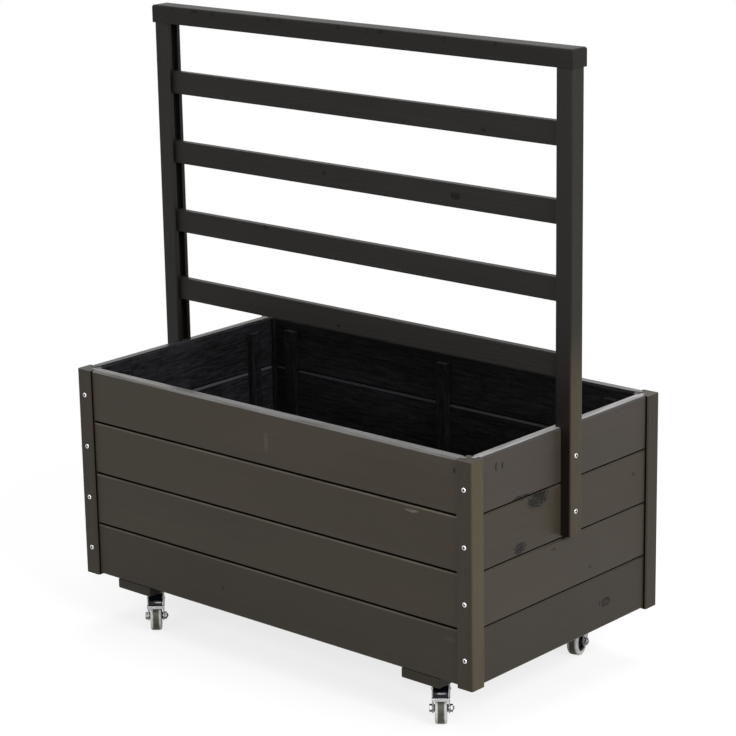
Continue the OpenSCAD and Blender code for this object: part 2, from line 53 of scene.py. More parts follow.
# ---- sizes of the box and the trellis, read from the frame ----
post_low, post_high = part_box("post_front_left")
POST = post_high.x - post_low.x
BOX_X, BOX_Y = -post_low.x, -post_low.y
low_board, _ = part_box("front_board_1")
top_board_low, top_board_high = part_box("front_board_4")
BOARDS = 4
WALL_Z, WALL_TOP = low_board.z, top_board_high.z
COVER = (WALL_TOP - WALL_Z) / BOARDS
BOARD_T = top_board_high.y - top_board_low.y
INSET = BOX_Y + top_board_low.y
END_TONGUE = -low_board.x - (BOX_X - POST)
leg_low, leg_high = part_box("trellis_post_right")
TRELLIS_X, LEG_Z = leg_high.x, leg_low.z
beam_low, beam_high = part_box("beam_right")
BEAM_X, BEAM_Z = (beam_low.x + beam_high.x) / 2, beam_low.z

# ---- sizes that the frame's boxes don't give ----
# the boards' section
BEVEL_TOP = 4 * MM
BEVEL_BOTTOM = 3 * MM
JOINT_GAP = 0.8 * MM
TONGUE_T = 8 * MM
TONGUE_H = 6 * MM
TONGUE_PLAY = 0.2 * MM
SLOT_H = TONGUE_H + 1 * MM
END_GAP = 0.5 * MM
# how far the painted shade of a joint reaches on to the bevel under it, by the way the wall runs
JOINT_SHADE = {"X": 1.7 * MM, "Y": 0.7 * MM}
# the strip at the mouth of a joint that stays as light as the face
JOINT_LIP = 0.4 * MM

# how wide the edges are rounded
BOARD_ARRIS, TONGUE_ARRIS, POST_ARRIS = 0.7 * MM, 0.4 * MM, 0.5 * MM
BEAM_ROUND, FLOOR_ROUND, CLEAT_ROUND, SLAT_ROUND = 3 * MM, 1.2 * MM, 1.0 * MM, 2 * MM
CAP_ROUND, CAP_ARRIS = 4.5 * MM, 1.0 * MM
SHEET_EDGE = 0.3 * MM
# edges shorter than this stay sharp, on the posts and on the casters
POST_SHORTEST, CASTER_SHORTEST = 3 * MM, 1 * MM
# how near its plane a face has to be, on the posts and on the pedals
NEAR_POST, NEAR_PEDAL = 0.4 * MM, 0.1 * MM

FLOOR_COUNT, FLOOR_GAP = 5, 6 * MM
CLEAT_WIDTH, CLEAT_T = 26 * MM, 14 * MM
# the cleats' places along the long and the short walls
LONG_CLEATS, SHORT_CLEATS = (-0.414, 0.0, 0.414), (-0.184, 0.184)

# screws: radius of the head and the shank, and lengths
SCREW_HEAD, SCREW_SHANK = 5 * MM, 2.25 * MM
CLEAT_HEAD, CLEAT_SHANK = 3.5 * MM, 1.75 * MM
POST_SCREW, LEG_SCREW, BEAM_SCREW, CLEAT_SCREW = 70 * MM, 40 * MM, 55 * MM, 30 * MM
# how far from a beam's middle its screws are, and how far above a board's middle the cleats' are
BEAM_SCREW_ASIDE, CLEAT_SCREW_UP = 27 * MM, 12 * MM
# hexagon screws: across the flats, head's height, shank's radius, length
HEXAGON = (10 * MM, 4 * MM, 3 * MM, 18 * MM)
# how far from a caster plate's middle they are, each way, and the plate's thickness
PLATE_HOLE, PLATE_T = 23 * MM, 2.5 * MM

SIDES = (-1, 1)
CASTERS = ("front_left", "front_right", "back_left", "back_right")
TREAD_HALF = 11 * MM
# the pedal's bulging sheet: its middle from the axle, radius, thickness and lower end; then the cheeks
SHEET_AHEAD, SHEET_RISE, SHEET_R, SHEET_T = 1 * MM, 26 * MM, 24 * MM, 1.5 * MM
SHEET_FROM = math.radians(11)
PEDAL_HALF, PIN_R = 14 * MM, 2.5 * MM
# the fork's flanks are drawn in by this much, from a height over the axle and over a rise
FORK_DRAW, DRAW_FROM, DRAW_RISE = 5.2 * MM, 9 * MM, 12 * MM
# what lies within the core stays as it is; past it the draw grows over the fade
FORK_CORE, PEDAL_CORE, DRAW_FADE = 12 * MM, 17 * MM, 5 * MM
# the races, higher than this far below the kingpin's joint, stay too
RACE_DEPTH = 3 * MM

# ---- tones, as linear grey, and the tints they are multiplied by ----
BOX_LEVEL, POST_LEVEL, BEAM_LEVEL, INSIDE_LEVEL = 0.030, 0.021, 0.0135, 0.0048
LEG_LEVEL, SLAT_LEVEL, CAP_LEVEL = 0.0033, 0.014625, 0.0105
WARM = (1.24, 1.0, 0.66)
OLIVE = (1.0, 1.0, 0.86)
RUSSET = (1.28, 1.0, 0.68)
UMBER = (1.24, 1.0, 0.80)
VIOLET = (1.05, 1.0, 1.16)
FAWN = (1.16, 1.0, 0.74)
ASH = (1.0, 0.98, 0.98)
DUSK = (1.10, 1.0, 0.87)
RUBBER_GREY = (1.0, 1.0, 0.96)
RUBBER_SHADE = (1.0, 1.02, 0.7)
BLUE_BLACK = (0.8, 0.9, 1.6)
CLEAR_ZINC = (0.99, 1.0, 1.02)
DULL_ZINC = (1.0, 1.0, 0.92)

# each wall: turn about Z that brings -Y to its outer side, half its width, its depth from the middle
WALLS = {
    "front": (0, BOX_X, BOX_Y, "X"),
    "right": (90, BOX_Y, BOX_X, "Y"),
    "back": (180, BOX_X, BOX_Y, "X"),
    "left": (270, BOX_Y, BOX_X, "Y"),
}

# each wall's boards from the bottom up: lightness and tint of the stain
BOARD_TONES = {
    "front": ((0.66, WARM), (0.83, WARM), (0.90, WARM), (0.92, WARM)),
    "right": ((0.64, WARM), (0.86, RUSSET), (0.80, RUSSET), (0.95, UMBER)),
    "back": ((0.77, WARM), (0.98, WARM), (1.04, WARM), (1.00, WARM)),
    "left": ((0.80, WARM), (1.04, WARM), (0.99, WARM), (0.96, WARM)),
}

# painted sheen: how much lighter than the face the top bevel of each wall's boards is painted, and the
# wall's rim
ARRIS_SHEEN = {"front": 3.0, "right": 1.3, "back": 3.0, "left": 1.3}
BRIM_SHEEN = {"front": 4.7, "right": 9.0, "back": 4.3, "left": 1.2}

# painted light: how light each corner post's outer side is painted, beside its front
POST_SIDES = {"front_left": 1.5, "front_right": 1.9, "back_left": 1.5, "back_right": 0.9}

# knots on each wall: place along it from its left end, height over the floor, radius in mm
KNOTS = {
    "front": [(0.38, 0.156, 3)],
    "right": [(0.404, 0.156, 7.5), (0.243, 0.305, 2.5), (0.353, 0.24, 2.5), (0.488, 0.386, 3)],
    "back": [(0.25, 0.160, 7), (0.62, 0.255, 6), (0.18, 0.285, 4), (0.45, 0.380, 8), (0.80, 0.470, 6)],
    "left": [(0.30, 0.165, 6), (0.14, 0.280, 5), (0.36, 0.360, 7), (0.22, 0.485, 5)],
}

# marks: place along the wall, height, reach along and up in metres, and lightness of the stain
MARKS = {
    "front": [(0.505, 0.472, 0.010, 0.036, 1.9), (0.336, 0.320, 0.006, 0.004, 2.0),
              (0.860, 0.413, 0.026, 0.006, 4.0), (0.958, 0.508, 0.006, 0.012, 0.2),
              (0.945, 0.190, 0.022, 0.012, 1.7), (0.700, 0.230, 0.050, 0.010, 1.25)],
    "right": [(0.076, 0.504, 0.006, 0.014, 0.05), (0.094, 0.502, 0.005, 0.014, 0.05),
              (0.195, 0.412, 0.066, 0.030, 0.05), (0.150, 0.428, 0.060, 0.012, 0.05),
              (0.205, 0.424, 0.045, 0.014, 0.03), (0.143, 0.334, 0.036, 0.026, 0.1),
              (0.385, 0.157, 0.005, 0.012, 0.1)],
    "back": [(0.72, 0.200, 0.060, 0.020, 0.4), (0.30, 0.440, 0.040, 0.012, 1.5)],
    "left": [(0.42, 0.180, 0.050, 0.020, 0.4)],
}

# knots on each slat from the bottom up: place along it, height from its middle, radius in mm
SLAT_KNOTS = [[(0.31, -0.012, 3)], [(0.244, 0.0, 6), (-0.078, 0.004, 3)], [(-0.238, 0.018, 3.5)],
              [(-0.05, -0.01, 3)]]

# runs of stain from the cap rail's upper edge: place along it, reach along and down in mm
CAP_DRIPS = [(-0.463, 6, 16), (-0.401, 26, 9), (-0.352, 7, 20), (-0.204, 12, 12), (-0.171, 6, 24),
             (-0.024, 9, 14), (0.049, 6, 21), (0.080, 22, 9), (0.232, 8, 17), (0.349, 6, 12)]


# ---- building materials ----

class Nodes:
    """The nodes of a material or a world, added one at a time."""

    def __init__(self, owner):
        owner.use_nodes = True
        self.nodes = owner.node_tree.nodes
        self.links = owner.node_tree.links

    def node(self, kind, inputs=None, output=0, **settings):
        """A new node's output. inputs gives each socket a number, a colour or another output."""
        made = self.nodes.new("ShaderNode" + kind)
        for key, value in settings.items():
            setattr(made, key, value)
        for key, value in (inputs or {}).items():
            self.feed(made.inputs[key], value)
        return made.outputs[output]

    def feed(self, socket, value):
        """Gives a socket another node's output, or a fixed value."""
        if isinstance(value, bpy.types.NodeSocket):
            self.links.new(value, socket)
        else:
            socket.default_value = value

    def math(self, operation, *values, clamp=False):
        return self.node("Math", dict(enumerate(values)), operation=operation, use_clamp=clamp)

    def times(self, a, b):
        return self.math("MULTIPLY", a, b)

    def plus(self, start, value, weight, clamp=False):
        """start plus value times weight."""
        return self.math("MULTIPLY_ADD", value, weight, start, clamp=clamp)

    def swing(self, start, value, weight, clamp=False):
        """start plus value's departure from its middle, times weight."""
        return self.plus(start, self.math("SUBTRACT", value, 0.5), weight, clamp)

    def tone(self, start, *layers):
        """start plus the swing of each layer, with its weight."""
        for layer, weight in layers:
            start = self.swing(start, layer, weight)
        return start

    def vector(self, operation, *values, output=0):
        return self.node("VectorMath", dict(enumerate(values)), output, operation=operation)

    def length(self, vector):
        return self.vector("LENGTH", vector, output=1)

    def ramp(self, value, low, high, start=0.0, end=1.0):
        """value taken from low..high to start..end, with soft ends."""
        return self.node("MapRange", {0: value, 1: low, 2: high, 3: start, 4: end},
                         interpolation_type="SMOOTHSTEP")

    def below(self, value, full, none):
        """1 while value lies under full, falling to 0 at none."""
        return self.ramp(value, full, none, 1.0, 0.0)

    def noise(self, vector, scale, detail=2.0, roughness=0.5, output=0):
        return self.node("TexNoise", {"Vector": vector, "Scale": scale, "Detail": detail,
                                      "Roughness": roughness}, output)

    def place(self, vector, offset=(0, 0, 0), scale=(1, 1, 1)):
        """vector moved by an offset and stretched."""
        return self.node("Mapping", {"Vector": vector, "Location": offset, "Scale": scale})

    def mix(self, factor, a, b):
        return self.node("Mix", {0: factor, 6: a, 7: b}, 2, data_type="RGBA")

    def light_path(self):
        return self.nodes.new("ShaderNodeLightPath").outputs


class Finish(Nodes):
    """The material of one surface. at is the place on the object."""

    def __init__(self, name):
        self.material = bpy.data.materials.new(name)
        super().__init__(self.material)
        self.shader = self.nodes["Principled BSDF"]
        self.at = self.node("TexCoord", output=3)

    def aside(self, centre, axle):
        """How far a point lies from centre along an axle."""
        gap = self.vector("SUBTRACT", self.at, centre)
        return self.vector("DOT_PRODUCT", gap, axle, output=1)

    def bump(self, height, strength, distance, **inputs):
        return self.node("Bump", {"Height": height, "Strength": strength, "Distance": distance, **inputs})

    def coated(self, colour, rough, normal, lustre=0.5, metal=0.0):
        """The material with its shader filled in. lustre is how much the surface mirrors."""
        for key, value in (("Base Color", colour), ("Roughness", rough), ("Normal", normal),
                           ("Specular IOR Level", lustre), ("Metallic", metal)):
            self.feed(self.shader.inputs[key], value)
        return self.material


class Wood(Finish):
    """A finish with its grain along one axis. Each seed gives another figure."""

    def __init__(self, name, grain, seed):
        super().__init__(name)
        self.grain = "XYZ".index(grain)
        self.shift = (0.37 * seed, 0.53 * seed, 0.71 * seed)

    def along(self, long, across):
        """A scale with one value along the grain and another across it."""
        return [long if i == self.grain else across for i in range(3)]

    def streaks(self, long, across, detail=2.0, roughness=0.5, output=0):
        """Noise drawn out along the grain."""
        spot = self.place(self.at, self.shift, self.along(long, across))
        return self.noise(spot, 1.0, detail, roughness, output)


def grey(level, tint=(1.0, 1.0, 1.0)):
    """A linear colour."""
    return (*(level * channel for channel in tint), 1.0)


# ---- the look of wood ----

def knot(f, centre, size):
    """How deep inside a knot a point lies, how near its rim, and how far it bends the grain."""
    gap = f.vector("SUBTRACT", f.at, centre)
    gap = f.length(f.vector("MULTIPLY", gap, f.along(0.62, 1.0)))
    uneven = f.noise(f.place(f.at, f.shift), 190.0, 2.0, 0.6)
    gap = f.swing(gap, uneven, size * 0.7)
    core = f.below(gap, size * 0.55, size * 0.8)
    rim = f.times(f.ramp(gap, size * 0.45, size * 0.8), f.below(gap, size * 1.0, size * 1.45))
    broken = f.noise(f.place(f.at, [2 * v for v in f.shift]), 0.9 / size, 2.0, 0.6)
    rim = f.times(rim, f.ramp(broken, 0.38, 0.5))
    bend = f.times(f.below(gap, size * 0.8, size * 3.4), size * 0.8)
    return core, rim, bend


def growth(f, pith, knots=()):
    """The layers of the figure, then the knots' cores and rims.

    The layers are the dark late line of the growth rings, fibre, streaks and clouds.
    """
    wander_reach, rings_per_metre = 0.034, 215.0
    # distance from the heart of the tree, wandering slowly along the board
    wander = f.vector("SUBTRACT", f.streaks(1.6, 7.0, output=1), (0.5, 0.5, 0.5))
    wander = f.vector("MULTIPLY", wander, (wander_reach,) * 3)
    wavy = f.vector("ADD", f.vector("SUBTRACT", f.at, pith), wander)
    radius = f.length(f.vector("MULTIPLY", wavy, f.along(0.0, 1.0)))
    cores = rims = None
    for *centre, size in knots:
        core, rim, bend = knot(f, centre, size)
        radius = f.math("ADD", radius, bend)
        cores = core if cores is None else f.math("MAXIMUM", cores, core)
        rims = rim if rims is None else f.math("MAXIMUM", rims, rim)
    uneven = f.times(f.streaks(3.0, 40.0, 1.0), 1.2)
    ring = f.math("FRACT", f.plus(uneven, radius, rings_per_metre))
    late = f.times(f.ramp(ring, 0.35, 0.9), f.below(ring, 0.93, 1.0))
    fibre = f.streaks(9.0, 700.0, 3.0, 0.6)
    streak = f.streaks(2.2, 55.0, 3.0, 0.55)
    cloud = f.streaks(2.0, 6.0)
    return (late, fibre, streak, cloud), cores, rims


def planed(f, level, tint, figure, layers):
    """The coat of planed wood under stain: its colour, roughness and relief."""
    late, fibre, streak, cloud = layers
    shade = f.tone(0.5, (fibre, 0.5 * figure), (streak, 0.8 * figure), (cloud, 0.8))
    shade = f.plus(shade, late, -0.2 * figure, clamp=True)
    colour = f.mix(shade, grey(level * 0.7, tint), grey(level * 1.3, tint))
    rough = f.tone(0.42, (streak, 0.14), (cloud, 0.16))
    relief = f.plus(f.tone(0.0, (fibre, 0.35), (streak, 0.3)), late, 0.35 * figure)
    return colour, rough, relief


def painted_sheen(f, band, level, smoother, height, coat):
    """The coat painted lighter in a band of heights, as painted sheen, (from z, up to z, lightness, tint).
    """
    low, high, lightness, tint = band
    colour, rough, relief = coat
    inside = f.times(f.ramp(height, low - 0.4 * MM, low), f.below(height, high, high + 0.2 * MM))
    painted_light = f.times(inside, f.ramp(f.streaks(7.0, 60.0), 0.3, 0.6, 0.45, 1.0))
    colour = f.mix(painted_light, colour, grey(level * lightness, tint))
    return colour, f.plus(rough, painted_light, smoother), relief


def marked(f, row, level, coat):
    """The coat with a ragged patch, (centre, reach each way, lightness). Large dark ones are only specks."""
    centre, reach, lightness = row
    colour, rough, relief = coat
    gap = f.vector("SUBTRACT", f.at, centre)
    gap = f.length(f.vector("MULTIPLY", gap, [1 / r for r in reach]))
    if max(reach) > 15 * MM and lightness < 1.0:
        ragged, edges = f.along(170.0, 380.0), (0.40, 0.47)
    else:
        ragged, edges = f.along(90.0, 260.0), (0.28, 0.5)
    torn = f.noise(f.place(f.at, f.shift, ragged), 1.0, 5.0, 0.8)
    patch = f.ramp(f.math("SUBTRACT", torn, f.ramp(gap, 0.2, 1.0, 0.0, 0.4)), *edges)
    patch = f.times(patch, 0.9)
    colour = f.mix(patch, colour, grey(level * lightness, FAWN if lightness > 1.0 else ASH))
    return colour, f.plus(rough, patch, 0.25, clamp=True), f.plus(relief, patch, -1.2)


def knotted(f, cores, rims, level, tint, coat):
    """The coat with its knots: dark cores, and darker rims that are rough and sunk."""
    colour, rough, relief = coat
    colour = f.mix(f.times(cores, 0.85), colour, grey(level * 0.15, tint))
    colour = f.mix(f.times(rims, 0.7), colour, grey(level * 0.12, tint))
    return colour, f.plus(rough, rims, 0.3, clamp=True), f.plus(relief, rims, -1.6)


def painted_side_light(f, colour, x, height, sides):
    """Painted light: another tone on the faces across X that lie at the outer x.

    sides is (outer x, tone high up, tone low down, from height, up to height).
    """
    outer, upper, lower, low, high = sides
    normal_x = f.math("ABSOLUTE", f.node("SeparateXYZ", {0: f.node("NewGeometry", output=1)}))
    across = f.times(f.ramp(normal_x, 0.5, 0.9), f.ramp(x, outer - 2 * MM, outer - MM))
    weight = f.ramp(height, low, high, lower, upper)
    tinted = f.vector("MULTIPLY", colour, OLIVE)
    return f.mix(across, colour, f.node("VectorMath", {0: tinted, "Scale": weight}, operation="SCALE"))


def share_of_board(f, height):
    """How far up its own board a height lies, from 0 to 1."""
    return f.math("FRACT", f.math("DIVIDE", f.math("SUBTRACT", height, WALL_Z), COVER))


def painted_screw_shadow(f, colour, level, x, y, height, holes):
    """The colour with a dark ring round each screw, the painted shadow of its countersink.

    holes is the axis the screws run along, and their place along the other one.
    """
    axis, middle = holes
    outwards, aside, surface = (x, y, TRELLIS_X) if axis == "X" else (y, x, BOX_Y)
    above = f.times(f.math("SUBTRACT", share_of_board(f, height), 0.5), COVER)
    off = f.length(f.node("CombineXYZ", {0: f.math("SUBTRACT", aside, middle), 1: above}))
    ring = f.below(off, SCREW_HEAD * 1.08, SCREW_HEAD * 1.3)
    ring = f.times(ring, f.ramp(outwards, surface - MM, surface - 0.5 * MM))
    ring = f.times(ring, f.below(height, WALL_TOP, WALL_TOP + MM))
    if axis == "X":
        ring = f.times(ring, f.ramp(height, LEG_Z, LEG_Z + MM))
    return f.mix(f.times(ring, 0.8), colour, grey(level * 0.1))


def stained_wood(name, grain, seed, level, tint=WARM, pith=(0, 0, 0), knots=(), marks=(),
                 figure=1.0, arris=None, brim=None, sides=None, holes=None, lustre=0.2):
    """Planed softwood under a dark stain: growth rings, fibres, pores, knots and a satin coat.

    knots are (x, y, z, radius); marks are (centre, reach, lightness), where under 1 is darker.
    figure scales the grain. arris and brim are bands of painted sheen for painted_sheen, and the brim is
    smoother too;
    sides is for painted_side_light, and holes for painted_screw_shadow.
    """
    f = Wood(name, grain, seed)
    split = f.node("SeparateXYZ", {0: f.at}).node.outputs
    x, y, z = (f.math("ABSOLUTE", split[i]) for i in range(3))
    layers, cores, rims = growth(f, pith, knots)
    coat = planed(f, level, tint, figure, layers)
    for band, smoother in ((arris, 0.0), (brim, -0.16)):
        if band:
            coat = painted_sheen(f, band, level, smoother, z, coat)
    colour, *surface = coat
    if sides:
        colour = painted_side_light(f, colour, x, z, sides)
    if holes:
        colour = painted_screw_shadow(f, colour, level, x, y, z, holes)
    pores = f.ramp(f.streaks(60.0, 420.0, 2.0, 0.7), 0.70, 0.78, 0.0, 0.35)
    coat = (f.mix(pores, colour, grey(level * 0.35, tint)), *surface)
    for row in marks:
        coat = marked(f, row, level, coat)
    if knots:
        coat = knotted(f, cores, rims, level, tint, coat)
    colour, rough, relief = coat
    return f.coated(colour, rough, f.bump(relief, 0.4, 0.6 * MM), lustre)


def sawn_wood(name, grain, seed, pith=(0, 0, 0), level=1.0, boards=False):
    """Rough-sawn softwood steeped in stain: torn fibres, pale where they catch light, and saw marks.

    boards makes the top bevel of each wall board paler, as a painted highlight.
    """
    f = Wood(name, grain, seed)
    (late, fibre, streak, cloud), _, _ = growth(f, pith)
    torn = f.streaks(22.0, 210.0, 4.0, 0.75)
    blade = f.streaks(230.0, 6.0, 1.0, 0.4)
    fuzz = f.tone(0.34, (torn, 2.6), (streak, 0.7), (blade, 0.3), (cloud, 1.0))
    fuzz = f.plus(fuzz, late, -0.15, clamp=True)
    level *= INSIDE_LEVEL
    colour = f.mix(fuzz, grey(level * 0.4, VIOLET), grey(level * 2.4, VIOLET))
    if boards:
        z = f.node("SeparateXYZ", {0: f.at}, 2)
        bevel = f.ramp(share_of_board(f, z), 1.0 - 1.1 * BEVEL_TOP / COVER, 1.0 - 0.9 * BEVEL_TOP / COVER)
        # the rim's own bevel stays dark, without the painted highlight
        bevel = f.times(bevel, f.below(z, WALL_TOP - 2.0 * BEVEL_TOP, WALL_TOP - 1.5 * BEVEL_TOP))
        colour = f.mix(bevel, colour, grey(level * 5.0, VIOLET))
    rough = f.tone(0.72, (torn, 0.3), (cloud, 0.2))
    relief = f.tone(0.0, (torn, 2.4), (blade, 0.6), (fibre, 0.5))
    return f.coated(colour, rough, f.bump(relief, 0.5, 0.6 * MM), lustre=0.06)


def painted_joint_shade(name):
    """Painted shade for the wood down in a joint between two boards: near black, matt and barely mirroring.
    """
    f = Finish(name)
    shade_noise = f.noise(f.at, 260.0, 3.0, 0.6)
    colour = f.mix(shade_noise, grey(0.0006), grey(0.0024, WARM))
    rough = f.plus(0.85, shade_noise, 0.15)
    return f.coated(colour, rough, f.bump(shade_noise, 0.3, 0.4 * MM), lustre=0.02)


# ---- the look of metal, rubber and plastic ----

def plated_steel(name, level, roughness, tint=CLEAR_ZINC):
    """Bright zinc plate: rolled streaks, clouded lustre and faint spangle."""
    f = Finish(name)
    cloud = f.noise(f.at, 90.0, 3.0, 0.6)
    spangle = f.node("TexVoronoi", {"Vector": f.at, "Scale": 420.0}, 1)
    lustre = f.swing(cloud, f.node("SeparateColor", {0: spangle}), 0.18, clamp=True)
    colour = f.mix(lustre, grey(level * 0.8, tint), grey(min(level * 1.2, 0.95), tint))
    scratch = f.noise(f.place(f.at, scale=(160, 900, 900)), 1.0, 2.0, 0.6)
    rough = f.tone(roughness, (scratch, 0.2), (cloud, 0.16))
    return f.coated(colour, rough, f.bump(scratch, 0.1, 0.2 * MM), metal=1.0)


def grey_rubber(name, centre, axle):
    """Solid grey rubber: pale sides, a tread painted dark as painted shade, mould bloom and fine grit."""
    level = 0.55
    f = Finish(name)
    tread_edge_noise = f.noise(f.at, 160.0, 3.0, 0.6)
    aside = f.swing(f.math("ABSOLUTE", f.aside(centre, axle)), tread_edge_noise, 2.4 * MM)
    tread = f.below(aside, TREAD_HALF - 6.5 * MM, TREAD_HALF - 3.0 * MM)
    bloom = f.noise(f.at, 70.0, 3.0, 0.6)
    grit = f.noise(f.at, 900.0, 2.0, 0.6)
    grain = f.swing(bloom, grit, 0.5, clamp=True)
    clean = f.mix(grain, grey(level * 0.78, RUBBER_GREY), grey(level * 1.22, RUBBER_GREY))
    # painted shade: the tread's darker colour
    painted_light = f.mix(grain, grey(level * 0.04, RUBBER_SHADE), grey(level * 0.13, RUBBER_SHADE))
    rough = f.plus(0.36, bloom, 0.2)
    return f.coated(f.mix(tread, clean, painted_light), rough, f.bump(grit, 0.25, 0.3 * MM), lustre=0.4)


def black_enamel(name, centre, axle):
    """Glossy blue-black enamel on pressed steel that is crowned across, with orange peel."""
    f = Finish(name)
    cloud = f.noise(f.at, 120.0, 2.0)
    peel = f.noise(f.at, 700.0, 1.0)
    colour = f.mix(cloud, grey(0.002, BLUE_BLACK), grey(0.006, BLUE_BLACK))
    rough = f.plus(0.08, cloud, 0.12)
    away = f.math("POWER", f.math("ABSOLUTE", f.aside(centre, axle)), 2.0)
    crown = f.bump(f.times(away, -3.5), 1.0, 1.0)
    return f.coated(colour, rough, f.bump(peel, 0.03, 0.2 * MM, Normal=crown), lustre=0.25)


def moulded_plastic(name):
    """Black moulded plastic with a fine spark finish."""
    f = Finish(name)
    spark = f.noise(f.at, 1400.0, 2.0, 0.6)
    cloud = f.noise(f.at, 60.0, 2.0)
    colour = f.mix(cloud, grey(0.0096), grey(0.018))
    rough = f.plus(0.38, spark, 0.2)
    return f.coated(colour, rough, f.bump(spark, 0.2, 0.2 * MM))


# ---- building pieces ----

def as_mesh(name, bm):
    """The bmesh as a mesh. The bmesh itself is freed."""
    mesh = bpy.data.meshes.new(name)
    bm.to_mesh(mesh)
    bm.free()
    return mesh


def added(name, data):
    """A new object in the scene."""
    made = bpy.data.objects.new(name, data)
    bpy.context.scene.collection.objects.link(made)
    return made


def finished(name, bm, material, body, nodes):
    """The mesh as a piece of the object, standing for CAD nodes and riding on their body.

    material may be a tuple, in the order of the faces' material numbers.
    """
    bm.normal_update()
    mesh = as_mesh(name, bm)
    mesh.shade_smooth()
    mesh.set_sharp_from_angle(angle=math.radians(32))
    for finish in material if isinstance(material, tuple) else (material,):
        mesh.materials.append(finish)
    made = added(name, mesh)
    even = made.modifiers.new("even_shading", "WEIGHTED_NORMAL")
    even.keep_sharp = True
    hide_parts(*nodes)
    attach(made, body)


def rounded(bm, edges, width, segments, clamp=False):
    bmesh.ops.bevel(bm, geom=edges, offset=width, offset_type="OFFSET", affect="EDGES",
                    segments=segments, profile=0.5, material=-1, clamp_overlap=clamp)


def soften(bm, width, angle=30, segments=2, shortest=0.0):
    """Rounds the edges that are sharper than an angle in degrees and longer than shortest."""
    sharp = [e for e in bm.edges if len(e.link_faces) == 2
             and e.calc_face_angle(0.0) > math.radians(angle) and e.calc_length() > shortest]
    rounded(bm, sharp, width, segments)


def copied(node, width, angle=40, segments=2, shortest=CASTER_SHORTEST):
    """A merged copy of a CAD node with its sharp edges rounded."""
    bm = bmesh.new()
    bm.from_mesh(frame["nodes"][node].data)
    bmesh.ops.remove_doubles(bm, verts=bm.verts, dist=0.002 * MM)
    bmesh.ops.dissolve_limit(bm, angle_limit=math.radians(0.5), verts=bm.verts, edges=bm.edges)
    soften(bm, width, angle, segments, shortest)
    bmesh.ops.recalc_face_normals(bm, faces=bm.faces)
    return bm


def cuboid(low, high):
    """A box between two corners."""
    low, high = Vector(low), Vector(high)
    bm = bmesh.new()
    bmesh.ops.create_cube(bm, size=1.0)
    bmesh.ops.scale(bm, vec=high - low, verts=bm.verts)
    bmesh.ops.translate(bm, vec=(low + high) / 2, verts=bm.verts)
    return bm


def block(low, high, width, segments):
    """A box between two corners with rounded edges."""
    bm = cuboid(low, high)
    rounded(bm, bm.edges[:], width, segments, clamp=True)
    return bm


def joined(meshes):
    """Several bmeshes as one."""
    whole = bmesh.new()
    for bm in meshes:
        part = as_mesh("part", bm)
        whole.from_mesh(part)
        bpy.data.meshes.remove(part)
    return whole


# ---- wall boards ----

def board_outline(k, dark):
    """The cross-section of board k, from its outer face at 0 inwards, and up from its lower edge.

    dark is how far the painted shade of the joint above it reaches out on to its top bevel.
    """
    foot = JOINT_GAP if k else 0.0
    mid, half = BOARD_T / 2, TONGUE_T / 2
    slot_half = half + TONGUE_PLAY
    points = [(0, foot + BEVEL_BOTTOM), (BEVEL_BOTTOM, foot)]
    if k:
        points += [(mid - slot_half, foot), (mid - slot_half, SLOT_H),
                   (mid + slot_half, SLOT_H), (mid + slot_half, foot)]
    points += [(BOARD_T - BEVEL_BOTTOM, foot), (BOARD_T, foot + BEVEL_BOTTOM),
               (BOARD_T, COVER - BEVEL_TOP), (BOARD_T - BEVEL_TOP, COVER)]
    if k < BOARDS - 1:
        points += [(mid + half, COVER), (mid + half, COVER + TONGUE_H),
                   (mid - half, COVER + TONGUE_H), (mid - half, COVER),
                   (BEVEL_TOP, COVER), (BEVEL_TOP - dark, COVER - dark)]
    else:
        points.append((BEVEL_TOP, COVER))
    return points + [(0, COVER - BEVEL_TOP)]


def shaded(bm, k, dark):
    """Gives faces down in the joints the second material, which is painted shade, and the inner side the
    third.
    """
    for face in bm.faces:
        centre = face.calc_center_median()
        under = k and centre.z < JOINT_GAP + BEVEL_BOTTOM - JOINT_LIP
        over = k < BOARDS - 1 and centre.y < BOARD_T / 2 and centre.z > COVER - dark
        if under or over:
            face.material_index = 1
        elif centre.y > BOARD_T * 0.7:
            face.material_index = 2


def board(k, half_length, dark):
    """Board k lying along X with its outer face at y = 0, and tongues at its ends."""
    bm = bmesh.new()
    end_x = half_length - END_GAP
    end = bm.faces.new([bm.verts.new((-end_x, y, z)) for y, z in board_outline(k, dark)])
    grown = bmesh.ops.extrude_face_region(bm, geom=[end])["geom"]
    moved = [v for v in grown if isinstance(v, bmesh.types.BMVert)]
    bmesh.ops.translate(bm, vec=(2 * end_x, 0, 0), verts=moved)
    bmesh.ops.recalc_face_normals(bm, faces=bm.faces)
    soften(bm, BOARD_ARRIS)
    shaded(bm, k, dark)
    # one bar through the board makes both end tongues, which show at the posts' tops only
    foot = SLOT_H if k else 0.0
    head = COVER + (TONGUE_H if k < BOARDS - 1 else -TONGUE_PLAY)
    reach = half_length + END_TONGUE
    mid = BOARD_T / 2
    tongue = block((-reach, mid - TONGUE_T / 2, foot), (reach, mid + TONGUE_T / 2, head), TONGUE_ARRIS, 1)
    # the tongues take the painted shade of the joints, all but the top board's upward faces
    for face in tongue.faces:
        face.material_index = int(k < BOARDS - 1 or face.normal.z < 0.5)
    return joined([bm, tongue])


def wall_turn(name):
    return Matrix.Rotation(math.radians(WALLS[name][0]), 4, "Z")


def on_wall(name, x, inwards, z):
    """A point of a wall: x from its middle, inwards from the posts' outer side, z over the floor."""
    return tuple(wall_turn(name) @ Vector((x, inwards - WALLS[name][2], z)))


